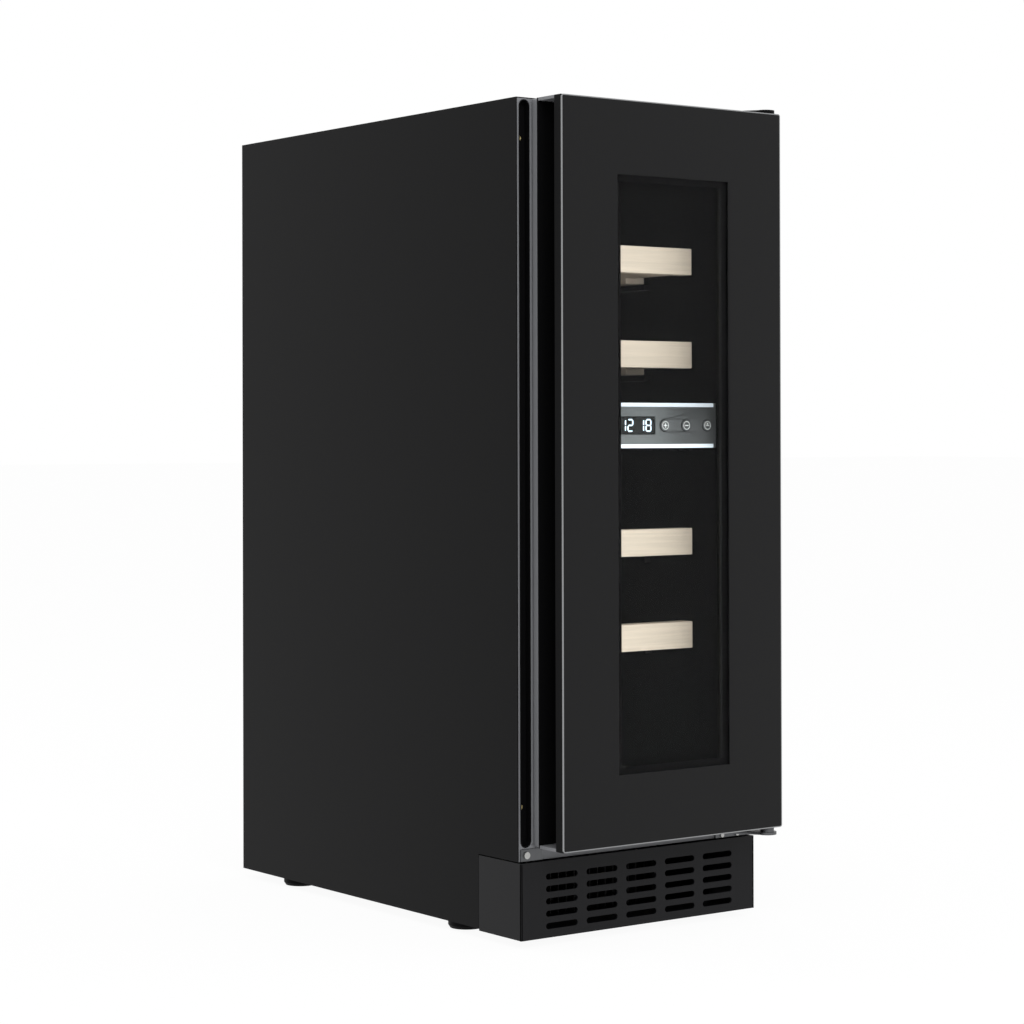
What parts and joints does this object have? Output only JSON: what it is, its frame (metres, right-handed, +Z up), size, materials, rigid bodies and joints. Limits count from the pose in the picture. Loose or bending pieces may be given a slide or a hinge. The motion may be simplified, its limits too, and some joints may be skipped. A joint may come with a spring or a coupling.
{
  "type": "wine cooler",
  "caption": "Tall narrow built-under wine cooler with a glazed door, beech-fronted pull-out shelves, a middle control panel and a slotted plinth.",
  "frame": {"origin": "on the floor, under the middle of the appliance's outer box", "axes": "+Z up, -Y towards the door's front, +X towards the hinged side"},
  "size_m": [0.295, 0.57, 0.82],
  "materials": {
    "cabinet_paint": "satin",
    "zinc_sheet": "satin",
    "foam": "matte",
    "liner_black": "satin",
    "frame_grey": "satin",
    "black_plastic": "matte",
    "bare_steel": "satin",
    "fascia_silver": "satin",
    "display_black": "gloss",
    "board_green": "satin",
    "lamp_white": "satin",
    "coil_aluminium": "satin",
    "white_plastic": "satin",
    "compressor_black": "satin",
    "rubber_black": "matte",
    "condenser_black": "satin",
    "copper": "satin",
    "plinth_plastic": "satin",
    "foot_plastic": "matte",
    "button_silver": "gloss",
    "fan_plastic": "satin",
    "beech": "satin",
    "door_plate": "satin",
    "tinted_glass": "gloss",
    "door_dark": "satin",
    "clear_glass": "gloss",
    "rubber_grey": "matte"
  },
  "bodies": {
    "cabinet": {"side_panel_left": "cabinet_paint", "side_panel_right": "cabinet_paint", "top_panel": "cabinet_paint", "back_panel": "zinc_sheet", "base_tray": "zinc_sheet", "insulation_foam": "foam", "liner_sides": "liner_black", "liner_top": "liner_black", "liner_back": "liner_black", "liner_floor": "liner_black", "face_frame": "frame_grey", "channel_trims": "black_plastic", "corner_plate": "bare_steel", "zone_divider": "liner_black", "control_housing": "fascia_silver", "display_lens": "display_black", "control_board": "board_green", "led_bars": "lamp_white", "evaporator_covers": "liner_black", "evaporators": "coil_aluminium", "fan_motors": "black_plastic", "air_sensors": "white_plastic", "shelf_runners": "liner_black", "compressor": "compressor_black", "compressor_grommets": "rubber_black", "condenser": "condenser_black", "condenser_fan_frame": "black_plastic", "refrigerant_pipes": "copper", "drain_pan": "black_plastic", "power_board_box": "black_plastic", "mains_inlet": "black_plastic", "rear_cover": "zinc_sheet", "plinth_grille": "plinth_plastic", "hinge_top": "bare_steel", "hinge_bottom": "bare_steel", "screws": "bare_steel"},
    "door": {"door_front_plate": "door_plate", "window_pane": "tinted_glass", "door_core": "door_dark", "door_rear_frame": "frame_grey", "inner_panes": "clear_glass", "glass_spacer": "black_plastic", "door_gasket": "rubber_grey", "door_caps": "frame_grey"},
    "power_button_body": {"power_button": "button_silver"},
    "lamp_button_body": {"lamp_button": "button_silver"},
    "warmer_button_body": {"warmer_button": "button_silver"},
    "cooler_button_body": {"cooler_button": "button_silver"},
    "zone_button_body": {"zone_button": "button_silver"},
    "upper_fan_blades_body": {"upper_fan_blades": "fan_plastic"},
    "lower_fan_blades_body": {"lower_fan_blades": "fan_plastic"},
    "condenser_fan_blades_body": {"condenser_fan_blades": "fan_plastic"},
    "shelf_1_body": {"shelf_1": "beech"},
    "shelf_2_body": {"shelf_2": "beech"},
    "shelf_3_body": {"shelf_3": "beech"},
    "shelf_4_body": {"shelf_4": "beech"},
    "foot_front_left_body": {"foot_front_left": "foot_plastic"},
    "foot_front_right_body": {"foot_front_right": "foot_plastic"},
    "foot_rear_left_body": {"foot_rear_left": "foot_plastic"},
    "foot_rear_right_body": {"foot_rear_right": "foot_plastic"}
  },
  "joints": [
    {"name": "door_hinge", "type": "hinge", "parent": "cabinet", "child": "door", "pos_m": [0.1372, -0.273, 0.456], "axis": [0, 0, 1], "range_deg": [0, 115]},
    {"name": "shelf_1_slide", "type": "slide", "parent": "cabinet", "child": "shelf_1_body", "axis": [0, -1, 0], "range_m": [0, 0.1]},
    {"name": "shelf_2_slide", "type": "slide", "parent": "cabinet", "child": "shelf_2_body", "axis": [0, -1, 0], "range_m": [0, 0.1]},
    {"name": "shelf_3_slide", "type": "slide", "parent": "cabinet", "child": "shelf_3_body", "axis": [0, -1, 0], "range_m": [0, 0.1]},
    {"name": "shelf_4_slide", "type": "slide", "parent": "cabinet", "child": "shelf_4_body", "axis": [0, -1, 0], "range_m": [0, 0.1]},
    {"name": "power_button_press", "type": "slide", "parent": "cabinet", "child": "power_button_body", "axis": [0, 1, 0], "range_m": [0, 0.001], "stiffness_N_per_m": 600},
    {"name": "lamp_button_press", "type": "slide", "parent": "cabinet", "child": "lamp_button_body", "axis": [0, 1, 0], "range_m": [0, 0.001], "stiffness_N_per_m": 600},
    {"name": "warmer_button_press", "type": "slide", "parent": "cabinet", "child": "warmer_button_body", "axis": [0, 1, 0], "range_m": [0, 0.001], "stiffness_N_per_m": 600},
    {"name": "cooler_button_press", "type": "slide", "parent": "cabinet", "child": "cooler_button_body", "axis": [0, 1, 0], "range_m": [0, 0.001], "stiffness_N_per_m": 600},
    {"name": "zone_button_press", "type": "slide", "parent": "cabinet", "child": "zone_button_body", "axis": [0, 1, 0], "range_m": [0, 0.001], "stiffness_N_per_m": 600},
    {"name": "upper_fan_spin", "type": "hinge", "parent": "cabinet", "child": "upper_fan_blades_body", "pos_m": [0, 0.215, 0.585], "axis": [0, 1, 0], "continuous": true},
    {"name": "lower_fan_spin", "type": "hinge", "parent": "cabinet", "child": "lower_fan_blades_body", "pos_m": [0, 0.215, 0.29], "axis": [0, 1, 0], "continuous": true},
    {"name": "condenser_fan_spin", "type": "hinge", "parent": "cabinet", "child": "condenser_fan_blades_body", "pos_m": [-0.025, -0.062, 0.0545], "axis": [0, 1, 0], "continuous": true},
    {"name": "front_left_foot_screw", "type": "slide", "parent": "cabinet", "child": "foot_front_left_body", "axis": [0, 0, -1], "range_m": [0, 0.05]},
    {"name": "front_right_foot_screw", "type": "slide", "parent": "cabinet", "child": "foot_front_right_body", "axis": [0, 0, -1], "range_m": [0, 0.05]},
    {"name": "rear_left_foot_screw", "type": "slide", "parent": "cabinet", "child": "foot_rear_left_body", "axis": [0, 0, -1], "range_m": [0, 0.05]},
    {"name": "rear_right_foot_screw", "type": "slide", "parent": "cabinet", "child": "foot_rear_right_body", "axis": [0, 0, -1], "range_m": [0, 0.05]}
  ],
  "couplings": [
    {"joint": "shelf_1_slide", "follows": "door_hinge", "m_per_rad": 0.0498},
    {"joint": "shelf_2_slide", "follows": "door_hinge", "m_per_rad": 0.0498},
    {"joint": "shelf_3_slide", "follows": "door_hinge", "m_per_rad": 0.0498},
    {"joint": "shelf_4_slide", "follows": "door_hinge", "m_per_rad": 0.0498}
  ]
}
